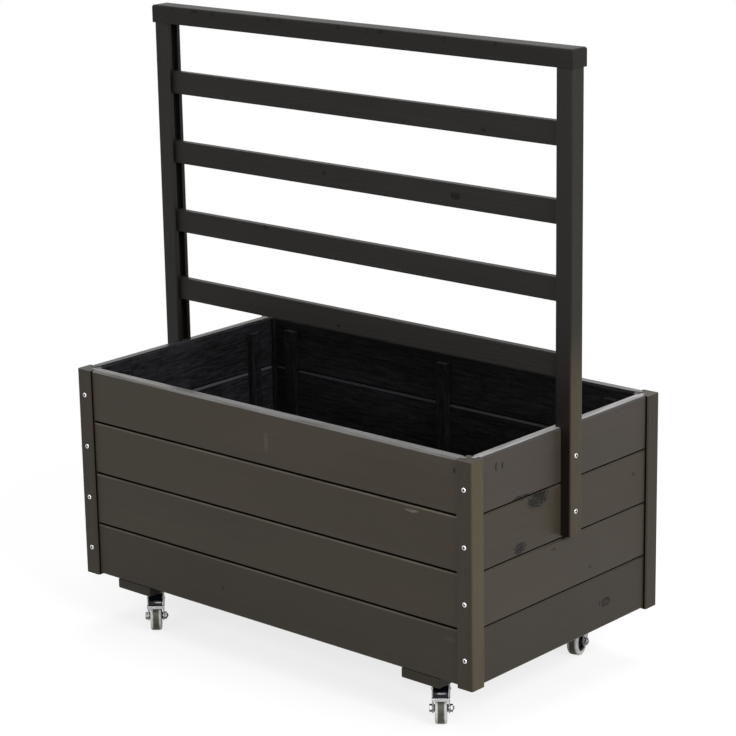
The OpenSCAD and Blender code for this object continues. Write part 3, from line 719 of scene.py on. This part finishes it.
def flaws(name, foot):
    """The knots and marks on the board whose lower edge is at foot."""
    _, half, _, grain = WALLS[name]
    knots = [(*on_wall(name, x - half, INSET, z), r * MM)
             for x, z, r in KNOTS[name] if foot <= z < foot + COVER]
    marks = []
    for x, z, reach, rise, lightness in MARKS[name]:
        if foot - rise <= z < foot + COVER + rise:
            size = (reach, BOARD_T / 3, rise) if grain == "X" else (BOARD_T / 3, reach, rise)
            marks.append((on_wall(name, x - half, INSET, z), size, lightness))
    return knots, marks


def board_stain(name, seed, k):
    """The stained face of board k of a wall, with painted sheen on its top bevel and on the wall's rim."""
    grain = WALLS[name][3]
    foot = WALL_Z + k * COVER
    top = foot + COVER
    knots, marks = flaws(name, foot)
    # the heart of the tree lies behind the board, elsewhere for each one
    odd = (k * 7 + seed * 3) % 5
    heart = on_wall(name, 0, INSET + 0.05 + 0.012 * odd, foot + 0.02 + 0.018 * odd)
    level, tint = BOARD_TONES[name][k]
    upmost = k == BOARDS - 1
    # painted sheen on the top bevel, stronger on the top board of the walls along X, and on the rim
    painted_light = ARRIS_SHEEN[name] * (1.6 if upmost and grain == "X" else 1.0)
    arris = (top - BEVEL_TOP, top - 0.3 * MM, painted_light, ASH if upmost else FAWN)
    brim = (WALL_TOP - 0.5 * MM, WALL_TOP, BRIM_SHEEN[name], ASH) if upmost else None
    return stained_wood(f"stain_{name}_{k + 1}", grain, seed * BOARDS + k, BOX_LEVEL * level,
                        tint=tint, pith=heart, knots=knots, marks=marks,
                        figure=0.45 if grain == "X" else 0.5, arris=arris, brim=brim)


def wall(name, seed):
    """The four boards of a wall."""
    _, half, depth, grain = WALLS[name]
    shade = painted_joint_shade(f"joint_{name}")
    # the left wall's inner side is painted twice as light, as painted light
    inner = sawn_wood(f"sawn_{name}", grain, 80 + seed, on_wall(name, 0, 0, 0.2),
                      2.0 if name == "left" else 1.0, boards=True)
    for k in range(BOARDS):
        finish = board_stain(name, seed, k)
        bm = board(k, half - POST, JOINT_SHADE[grain])
        place = wall_turn(name) @ Matrix.Translation((0, -depth + INSET, WALL_Z + k * COVER))
        bmesh.ops.transform(bm, matrix=place, verts=bm.verts)
        node = f"{name}_board_{k + 1}"
        finished(f"{name}_wall_board_{k + 1}", bm, (finish, shade, inner), "root", [node])


# ---- posts, beams, floor and cleats ----

def parted(bm, corner):
    """Gives a post's faces into the box the third material, and those beside the boards the second, which is
    painted shade.
    """
    for axis, edge, sign in ((0, BOX_X, corner.x), (1, BOX_Y, corner.y)):
        for depth in (INSET, INSET + BOARD_T):
            cut, normal = Vector(), Vector()
            cut[axis], normal[axis] = math.copysign(edge - depth, sign), 1.0
            bmesh.ops.bisect_plane(bm, geom=bm.verts[:] + bm.edges[:] + bm.faces[:], plane_co=cut,
                                   plane_no=normal)
    bm.normal_update()
    for face in bm.faces:
        centre = face.calc_center_median()
        from_x, from_y = BOX_X - abs(centre.x), BOX_Y - abs(centre.y)
        if abs(face.normal.z) > 0.5:
            continue
        if from_x > INSET + BOARD_T and from_y > INSET + BOARD_T:
            face.material_index = 2
        elif max(from_x, from_y) > POST - NEAR_POST and min(from_x, from_y) < INSET:
            face.material_index = 1
    return bm


def corner_posts():
    # the faces beside the boards get painted shade
    shade = painted_joint_shade("post_shade")
    inner = sawn_wood("sawn_posts", "Z", 90)
    for i, (corner, side) in enumerate(POST_SIDES.items()):
        node = "post_" + corner
        low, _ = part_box(node)
        heart = (low.x + 0.012 + 0.004 * i, low.y + 0.05, 0.0)
        # each post's outer side across X gets its own painted light from POST_SIDES
        finish = stained_wood(f"stain_{node}", "Z", 30 + i, POST_LEVEL, pith=heart, figure=0.6,
                              sides=(BOX_X, side, side, 0.0, 1.0),
                              holes=("Y", BOX_X - INSET - BOARD_T / 2))
        bm = parted(copied(node, POST_ARRIS, shortest=POST_SHORTEST), low)
        finished(f"corner_{node}", bm, (finish, shade, inner), "root", [node])


def beams():
    for i, side in enumerate(("left", "right")):
        node = "beam_" + side
        low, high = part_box(node)
        heart = ((low.x + high.x) / 2 + 0.01 * i, 0.0, low.z - 0.03)
        finish = stained_wood(f"stain_{node}", "Y", 40 + i, BEAM_LEVEL, pith=heart)
        finished(f"cross_{node}", block(low, high, BEAM_ROUND, 4), finish, "root", [node])


def floor_boards():
    low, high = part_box("floor_boards")
    width = (high.y - low.y - (FLOOR_COUNT - 1) * FLOOR_GAP) / FLOOR_COUNT
    boards = []
    for i in range(FLOOR_COUNT):
        y = low.y + i * (width + FLOOR_GAP)
        boards.append(block((low.x, y, low.z), (high.x, y + width, high.z), FLOOR_ROUND, 2))
    finish = sawn_wood("sawn_floor", "X", 50, (0, 0.02, 0.06))
    finished("floor_planks", joined(boards), finish, "root", ["floor_boards"])


def cleats(node, middles, along_x):
    """The battens of two facing walls. middles are their places along the wall."""
    low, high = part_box(node)
    wall_face = high.y if along_x else high.x
    battens = []
    for side in SIDES:
        near, far = sorted((side * wall_face, side * (wall_face - CLEAT_T)))
        for m in middles:
            left, right = m - CLEAT_WIDTH / 2, m + CLEAT_WIDTH / 2
            if along_x:
                corners = ((left, near, low.z), (right, far, high.z))
            else:
                corners = ((near, left, low.z), (far, right, high.z))
            battens.append(block(*corners, CLEAT_ROUND, 2))
    finish = sawn_wood(f"sawn_{node}", "Z", 55 + len(middles), (0.01, 0.03, 0), 1.2)
    finished(f"{node}_battens", joined(battens), finish, "root", [node])


# ---- trellis ----

def trellis_posts():
    for i, side in enumerate(("left", "right")):
        node = "trellis_post_" + side
        low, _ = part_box(node)
        heart = (low.x + 0.05, low.y + 0.01 + 0.02 * i, 0)
        # painted light: the legs' outer sides are made lighter, most of all low down
        finish = stained_wood(f"stain_{node}", "Z", 60 + i, LEG_LEVEL, WARM, heart,
                              sides=(TRELLIS_X, 2.4, 8.6, 0.58, 0.74), holes=("X", 0.0))
        finished(f"{node}_timber", copied(node, POST_ARRIS, shortest=POST_SHORTEST), finish, "root",
                 [node])


def slats():
    for i, knots in enumerate(SLAT_KNOTS, 1):
        node = f"trellis_slat_{i}"
        low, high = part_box(node)
        middle = (low.z + high.z) / 2
        spots = [(x, low.y, middle + z, r * MM) for x, z, r in knots]
        finish = stained_wood(f"stain_{node}", "X", 64 + i, SLAT_LEVEL, DUSK, knots=spots,
                              figure=0.9, pith=(0, 0.03 + 0.01 * i, middle - 0.02 * i), lustre=0.1)
        finished(f"{node}_rail", block(low, high, SLAT_ROUND, 3), finish, "root", [node])


def cap_rail():
    """The rail over the trellis, with its upper edges well rounded."""
    low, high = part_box("trellis_cap")
    drips = [((x, low.y, high.z - 5 * MM), (reach * MM, 6 * MM, fall * MM), 0.4)
             for x, reach, fall in CAP_DRIPS]
    finish = stained_wood("stain_trellis_cap", "X", 70, CAP_LEVEL, DUSK,
                          pith=(0, 0.03, low.z - 0.03), marks=drips, lustre=0.1)
    bm = cuboid(low, high)
    upper = [e for e in bm.edges if all(v.co.z > high.z - MM for v in e.verts)]
    rounded(bm, upper, CAP_ROUND, 5)
    soften(bm, CAP_ARRIS, 50)
    finished("trellis_cap_rail", bm, finish, "root", ["trellis_cap"])


# ---- screws ----

def screw(head, shank, length, segments=48):
    """A countersunk screw with a six-lobed recess, its face at z = 0 and its point down."""
    rim, rim_drop, rim_foot = 0.1 * head, 0.06 * head, -0.14 * head
    recess, lobe, lobes = 0.5 * head, 0.15, 6
    bm = bmesh.new()
    bmesh.ops.create_circle(bm, cap_ends=True, segments=segments, radius=head)
    bmesh.ops.translate(bm, vec=(0, 0, -rim_drop), verts=bm.verts)
    bm.faces.ensure_lookup_table()
    face = bm.faces[0]
    ring = bm.edges[:]
    bmesh.ops.inset_individual(bm, faces=[face], thickness=rim, depth=rim_drop)
    bmesh.ops.inset_individual(bm, faces=[face], thickness=head - rim - recess)
    for v in face.verts:
        turn = math.atan2(v.co.y, v.co.x)
        r = recess * (1 + lobe * math.cos(lobes * turn))
        v.co.x, v.co.y = r * math.cos(turn), r * math.sin(turn)
    sunk = bmesh.ops.inset_individual(bm, faces=[face], thickness=head * 0.06, depth=-recess)
    # the recess takes the second material, darker as painted shade
    for recess_face in (face, *sunk["faces"]):
        recess_face.material_index = 1
    stages = ((head, rim_foot), (shank, rim_foot - (head - shank)),
              (shank, -length + 3 * shank), (shank * 0.1, -length))
    for r, z in stages:
        grown = bmesh.ops.extrude_edge_only(bm, edges=ring)["geom"]
        ring = [g for g in grown if isinstance(g, bmesh.types.BMEdge)]
        for v in {v for e in ring for v in e.verts}:
            turn = math.atan2(v.co.y, v.co.x)
            v.co = (r * math.cos(turn), r * math.sin(turn), z)
    bmesh.ops.holes_fill(bm, edges=ring)
    bmesh.ops.recalc_face_normals(bm, faces=bm.faces)
    return bm


def rod(radius, length, segments, middle):
    """An upright rod whose middle is at a height."""
    bm = bmesh.new()
    bmesh.ops.create_cone(bm, cap_ends=True, segments=segments, radius1=radius, radius2=radius, depth=length)
    bmesh.ops.translate(bm, vec=(0, 0, middle), verts=bm.verts)
    return bm


def hexagon_screw(across, height, shank, length):
    """A hexagon screw, its head down and its shank up from z = 0."""
    edge, overlap = 0.5 * MM, 0.2 * MM
    head = rod(across / 2 / math.cos(math.pi / 6), height, 6, -height / 2)
    soften(head, edge)
    return joined([head, rod(shank, length, 20, length / 2 - overlap)])


def scattered(pattern, places):
    """Copies of a mesh at the places, each turned a little further."""
    part = as_mesh("pattern", pattern)
    whole = bmesh.new()
    for i, place in enumerate(places):
        start = len(whole.verts)
        whole.from_mesh(part)
        whole.verts.ensure_lookup_table()
        spin = Matrix.Rotation(0.9 * i, 4, "Z")
        bmesh.ops.transform(whole, matrix=place @ spin, verts=whole.verts[start:])
    bpy.data.meshes.remove(part)
    return whole


def facing(point, direction):
    """The place of a screw whose face looks in that direction."""
    turn = Vector(direction).to_track_quat("Z", "Y").to_matrix().to_4x4()
    return Matrix.Translation(point) @ turn


def middle_of_board(k):
    return WALL_Z + (k + 0.5) * COVER


def screw_places():
    """Where the screws in the posts, the trellis legs, the beams and the cleats are."""
    wall_mid = INSET + BOARD_T / 2
    posts = [facing((sx * (BOX_X - wall_mid), sy * BOX_Y, middle_of_board(k)), (0, sy, 0))
             for sx in SIDES for sy in SIDES for k in range(BOARDS)]
    legs = [facing((sx * TRELLIS_X, 0, middle_of_board(k)), (sx, 0, 0))
            for sx in SIDES for k in (BOARDS - 2, BOARDS - 1)]
    beams_up = [facing((sx * BEAM_X + dx * BEAM_SCREW_ASIDE, sy * (BOX_Y - wall_mid), BEAM_Z), (0, 0, -1))
                for sx in SIDES for sy in SIDES for dx in SIDES]
    inner_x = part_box("short_wall_cleats")[1].x - CLEAT_T
    inner_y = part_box("long_wall_cleats")[1].y - CLEAT_T
    in_cleats = [facing((x, sy * inner_y, middle_of_board(k) + CLEAT_SCREW_UP), (0, -sy, 0))
                 for sy in SIDES for x in LONG_CLEATS for k in range(BOARDS)]
    in_cleats += [facing((sx * inner_x, y, middle_of_board(k) + CLEAT_SCREW_UP), (-sx, 0, 0))
                  for sx in SIDES for y in SHORT_CLEATS for k in range(BOARDS)]
    return posts, legs, beams_up, in_cleats


def screws():
    # the second finish darkens the recesses as painted shade
    steel = (plated_steel("screw_zinc", 0.8, 0.3), plated_steel("screw_recess_shade", 0.12, 0.5))
    posts, legs, beams_up, in_cleats = screw_places()
    for name, node, length, places in (("post_screw_set", "post_screws", POST_SCREW, posts),
                                       ("leg_screw_set", "trellis_screws", LEG_SCREW, legs),
                                       ("beam_screw_set", "beam_screws", BEAM_SCREW, beams_up)):
        finished(name, scattered(screw(SCREW_HEAD, SCREW_SHANK, length), places), steel,
                 "root", [node])
    # inside the box the screws are darker zinc, as painted shade, and their recesses darker still
    shaded_zinc = (plated_steel("cleat_zinc_shade", 0.3, 0.42), plated_steel("cleat_recess_shade", 0.05, 0.6))
    small = screw(CLEAT_HEAD, CLEAT_SHANK, CLEAT_SCREW, segments=24)
    finished("cleat_screw_set", scattered(small, in_cleats), shaded_zinc, "root", ["cleat_screws"])


# ---- casters ----

def joint(name):
    """Where a joint is at rest, and the way of its axis."""
    row = next(j for j in frame["joints"] if j["name"] == name)
    return Vector(row["pos_m"]), Vector(row["axis"])


def share(value, start, span):
    """How far value has gone from start over span, from 0 to 1."""
    return min(max((value - start) / span, 0.0), 1.0)


def drawn_in(bm, corner, core):
    """Brings what lies past core, high on the fork, in towards the pedal's cheeks."""
    axle, across = joint(f"wheel_spin_{corner}")
    kingpin, _ = joint(f"swivel_turn_{corner}")
    for v in bm.verts:
        if v.co.z >= kingpin.z - RACE_DEPTH:
            continue
        aside = (v.co - kingpin).dot(across)
        weight = share(v.co.z, axle.z + DRAW_FROM, DRAW_RISE) * share(abs(aside), core, DRAW_FADE)
        v.co -= across * math.copysign(FORK_DRAW * weight, aside)
    return bm


def enamelled(bm, corner):
    """Gives the pedal's bulging sheet and its cheeks the second material."""
    axle, across = joint(f"wheel_spin_{corner}")
    pivot, _ = joint(f"pedal_press_{corner}")
    kingpin, _ = joint(f"swivel_turn_{corner}")
    forward = (axle - kingpin) * Vector((1, 1, 0))
    trail = forward.length
    forward /= trail
    middle = kingpin + forward * (trail + SHEET_AHEAD)
    middle.z = axle.z + SHEET_RISE
    for face in bm.faces:
        centre = face.calc_center_median()
        run, rise = (centre - middle).dot(forward), centre.z - middle.z
        reach = math.hypot(run, rise)
        on_sheet = (SHEET_R - NEAR_PEDAL < reach < SHEET_R + SHEET_T + NEAR_PEDAL
                    and rise > reach * math.sin(SHEET_FROM))
        aside = abs((centre - kingpin).dot(across))
        from_pin = (centre - pivot - across * (centre - pivot).dot(across)).length
        on_cheek = (PEDAL_HALF - SHEET_T - NEAR_PEDAL < aside < PEDAL_HALF + NEAR_PEDAL
                    and from_pin > PIN_R and reach < SHEET_R)
        face.material_index = int(on_sheet or on_cheek)
    return bm


def brake_pedal(corner, steel):
    axle, across = joint(f"wheel_spin_{corner}")
    enamel = black_enamel(f"pedal_enamel_{corner}", axle, across)
    node = f"brake_pedal_{corner}"
    bm = drawn_in(enamelled(copied(node, SHEET_EDGE), corner), corner, PEDAL_CORE)
    finished(f"foot_pedal_{corner}", bm, (steel, enamel), f"pedal_{corner}", [node])


def casters():
    zinc = plated_steel("caster_zinc", 0.3, 0.34, DULL_ZINC)
    bright = plated_steel("caster_bright", 0.22, 0.3)
    ledge = plated_steel("pedal_zinc", 0.5, 0.3)
    plastic = moulded_plastic("hub_plastic")
    for corner in CASTERS:
        rubber = grey_rubber(f"tyre_rubber_{corner}", *joint(f"wheel_spin_{corner}"))
        swivel, wheel = f"swivel_{corner}", f"wheel_{corner}"
        for name, part, edge, angle, segments, finish, body, slot in (
                ("top_plate", "plate", 0.35 * MM, 40, 2, zinc, "root", "caster_steel"),
                ("swivel_fork", "fork", SHEET_EDGE, 40, 2, zinc, swivel, "caster_steel"),
                ("axle_bolt", "axle", 0.4 * MM, 40, 2, bright, swivel, "caster_steel"),
                ("wheel_hub", "hub", 0.3 * MM, 40, 1, plastic, wheel, "hub_plastic"),
                ("wheel_tyre", "tyre", 0.2 * MM, 60, 1, rubber, wheel, "tyre_rubber")):
            node = f"caster_{part}_{corner}"
            bm = copied(node, edge, angle, segments)
            if part == "fork":
                drawn_in(bm, corner, FORK_CORE)
            finished(f"{name}_{corner}", bm, finish, body, [node])
        if corner.startswith("front"):
            brake_pedal(corner, ledge)


def caster_screws():
    steel = plated_steel("hexagon_zinc", 0.66, 0.3)
    plate_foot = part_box("caster_plate_front_left")[1].z - PLATE_T
    places = []
    for corner in CASTERS:
        low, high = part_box(f"caster_plate_{corner}")
        x, y = (low.x + high.x) / 2, (low.y + high.y) / 2
        places += [Matrix.Translation((x + dx * PLATE_HOLE, y + dy * PLATE_HOLE, plate_foot))
                   for dx in SIDES for dy in SIDES]
    finished("caster_screw_set", scattered(hexagon_screw(*HEXAGON), places), steel, "root",
             ["caster_screws"])


# ---- stage: camera, floor, light ----

def camera():
    """The view from the front right and a little above, fitted to the photograph."""
    azimuth, elevation, roll = (math.radians(v) for v in (41.53, 15.52, -0.975))
    distance, target = 4.9395, Vector((0.0175, 0.0, 0.5571))
    back = Vector((math.sin(azimuth) * math.cos(elevation), -math.cos(azimuth) * math.cos(elevation),
                   math.sin(elevation)))
    right = (-back).cross(Vector((0, 0, 1))).normalized()
    up = right.cross(-back)
    turned_right = math.cos(roll) * right + math.sin(roll) * up
    turned_up = -math.sin(roll) * right + math.cos(roll) * up
    data = bpy.data.cameras.new("camera")
    data.lens, data.sensor_width = 125.78, 36.0
    made = added("camera", data)
    made.matrix_world = Matrix.Translation(target + back * distance) @ Matrix(
        (turned_right, turned_up, back)).transposed().to_4x4()
    bpy.context.scene.camera = made


def softbox(name, place, aim, size, power):
    data = bpy.data.lights.new(name, "AREA")
    data.shape = "RECTANGLE"
    data.size, data.size_y = size
    data.energy = power
    made = added(name, data)
    made.location = place
    made.rotation_mode = "QUATERNION"
    made.rotation_quaternion = (Vector(aim) - Vector(place)).to_track_quat("-Z", "Y")


def lights():
    middle, front_caster = (0, 0, 0.5), (0.4, -0.3, 0.1)
    softbox("key", (3.6, -0.9, 2.4), middle, (2.0, 2.0), 150)
    softbox("fill", (-0.6, -3.8, 1.8), middle, (2.4, 2.0), 44)
    softbox("top", (-0.3, 0.9, 3.8), middle, (3.0, 2.0), 90)
    softbox("glint", (2.7, -3.1, 2.2), front_caster, (0.8, 0.6), 44)


def floor_paper():
    """White to the eye, clear from below, a shade darker round the box, and dim as a light."""
    f = Finish("floor_paper")
    f.nodes.remove(f.shader)
    path = f.light_path()
    mirrored = path["Is Glossy Ray"]
    paper = f.node("BsdfDiffuse", {"Color": grey(0.35)})
    # metal sees more of the shade under the box than the camera does
    shade = f.node("BsdfDiffuse", {"Color": f.mix(mirrored, grey(0.22), grey(0.7))})
    glow = f.node("Emission", {"Color": grey(1.0), "Strength": f.ramp(mirrored, 0, 1, 0.78, 0.1)})
    near = f.node("AddShader", {0: shade, 1: glow})
    white = f.node("Emission", {"Color": grey(1.0), "Strength": 1.0})
    seen = f.node("MixShader", {0: f.ramp(f.length(f.at), 0.9, 2.0), 1: near, 2: white})
    eye = f.math("MAXIMUM", path["Is Camera Ray"], mirrored)
    top = f.node("MixShader", {0: eye, 1: paper, 2: seen})
    from_below = f.node("NewGeometry", output=6)
    clear = f.node("BsdfTransparent")
    f.feed(f.nodes["Material Output"].inputs["Surface"],
           f.node("MixShader", {0: from_below, 1: top, 2: clear}))
    return f.material


def pale_floor():
    bm = bmesh.new()
    bmesh.ops.create_grid(bm, x_segments=1, y_segments=1, size=30.0)
    mesh = as_mesh("floor", bm)
    mesh.materials.append(floor_paper())
    made = added("floor", mesh)


def white_world():
    """White to the eye and in mirrors, and dim as a light."""
    world = bpy.data.worlds.new("studio")
    bpy.context.scene.world = world
    f = Nodes(world)
    dim = f.nodes["Background"]
    f.feed(dim.inputs["Color"], grey(1.0))
    f.feed(dim.inputs["Strength"], 0.35)
    white = f.node("Background", {"Color": grey(1.0), "Strength": 1.0})
    path = f.light_path()
    eye = f.math("MAXIMUM", path["Is Camera Ray"], path["Is Glossy Ray"])
    eye = f.math("MAXIMUM", eye, path["Is Transmission Ray"])
    f.feed(f.nodes["World Output"].inputs["Surface"],
           f.node("MixShader", {0: eye, 1: dim.outputs[0], 2: white}))
    bpy.context.scene.view_settings.view_transform = "Standard"


camera()
white_world()
lights()
pale_floor()
for number, name in enumerate(WALLS):
    wall(name, number)
corner_posts()
beams()
floor_boards()
cleats("long_wall_cleats", LONG_CLEATS, True)
cleats("short_wall_cleats", SHORT_CLEATS, False)
trellis_posts()
slats()
cap_rail()
screws()
casters()
caster_screws()
